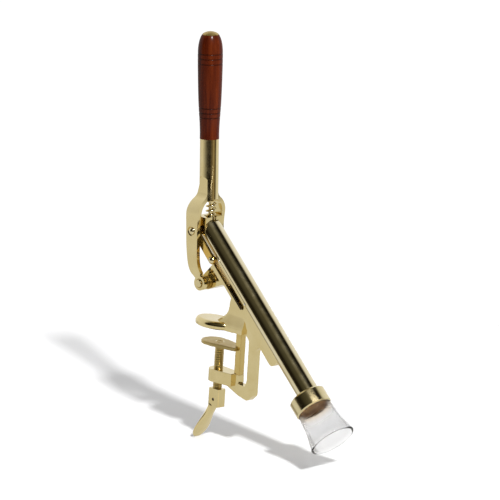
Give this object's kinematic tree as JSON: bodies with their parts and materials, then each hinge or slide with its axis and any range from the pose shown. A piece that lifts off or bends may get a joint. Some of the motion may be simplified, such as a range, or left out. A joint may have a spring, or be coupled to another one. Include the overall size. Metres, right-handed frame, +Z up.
{
  "type": "bar-mounted lever corkscrew",
  "caption": "Brass lever corkscrew that clamps to a counter: slanting barrel, glass bottle bell, crosshead with a worm, cranked fork lever and wooden grip.",
  "frame": {"origin": "on the underside of the upper clamp jaw, over the axis of the clamp screw", "axes": "+Z up along the clamp screw, +X away from the counter and down the barrel, Y along the pivots"},
  "size_m": [0.2878, 0.0592, 0.5169],
  "materials": {
    "polished_brass": "polished",
    "rosewood": "lacquered",
    "clear_glass": "clear",
    "brown_rubber": "matte",
    "bright_steel": "polished"
  },
  "bodies": {
    "root": {"rail_housing": "polished_brass", "clamp_frame": "polished_brass", "guide_bar": "polished_brass", "barrel_tube": "polished_brass", "barrel_head": "polished_brass", "wear_strips": "polished_brass", "spindle_nut": "polished_brass", "collar": "polished_brass", "bell_gasket": "brown_rubber", "bell_glass": "clear_glass", "fulcrum_pin": "polished_brass", "fulcrum_nut": "polished_brass", "catch_spring": "polished_brass"},
    "catch": {"catch_plunger": "polished_brass"},
    "lever": {"lever_yoke": "polished_brass", "lever_grip": "rosewood", "grip_cap": "polished_brass", "grip_rod": "bright_steel", "link_studs": "polished_brass", "fulcrum_bushes": "polished_brass"},
    "links": {"side_links": "polished_brass"},
    "crosshead": {"crosshead": "polished_brass", "crosshead_pin": "polished_brass", "thrust_washer": "bright_steel"},
    "spindle": {"spindle": "bright_steel", "worm": "bright_steel", "spindle_head": "bright_steel"},
    "jaw": {"clamp_jaw": "polished_brass"},
    "screw": {"clamp_screw": "polished_brass", "thumb_handle": "polished_brass", "handle_pin": "polished_brass"}
  },
  "joints": [
    {"name": "lever_swing", "type": "hinge", "parent": "root", "child": "lever", "pos_m": [-0.01942, 0, 0.05507], "axis": [0, 1, 0], "range_deg": [0, 83.5]},
    {"name": "crosshead_slide", "type": "slide", "parent": "root", "child": "crosshead", "axis": [0.7373, 0, -0.6756], "range_m": [0, 0.0734]},
    {"name": "link_fold", "type": "hinge", "parent": "crosshead", "child": "links", "pos_m": [-0.0068, 0, 0.08691], "axis": [0, 1, 0], "range_deg": [0, 37.5]},
    {"name": "spindle_turn", "type": "hinge", "parent": "crosshead", "child": "spindle", "pos_m": [0.01199, 0, 0.08462], "axis": [0.7373, 0, -0.6756], "range_deg": [0, 2516.57]},
    {"name": "clamp_travel", "type": "slide", "parent": "root", "child": "jaw", "axis": [0, 0, 1], "range_m": [-0.028, 0.009]},
    {"name": "screw_turn", "type": "hinge", "parent": "jaw", "child": "screw", "pos_m": [0, 0, -0.05], "axis": [0, 0, 1], "range_deg": [-3360, 1080]},
    {"name": "catch_press", "type": "slide", "parent": "root", "child": "catch", "axis": [0, 0, -1], "range_m": [0, 0.0025], "stiffness_N_per_m": 800, "deforming": ["catch_spring"]}
  ],
  "couplings": [
    {"joint": "crosshead_slide", "follows": "lever_swing", "m_per_rad": 0.050365},
    {"joint": "link_fold", "follows": "lever_swing", "ratio": 0.4491},
    {"joint": "spindle_turn", "follows": "lever_swing", "ratio": 30.139},
    {"joint": "screw_turn", "follows": "clamp_travel", "rad_per_m": 2094.4}
  ]
}
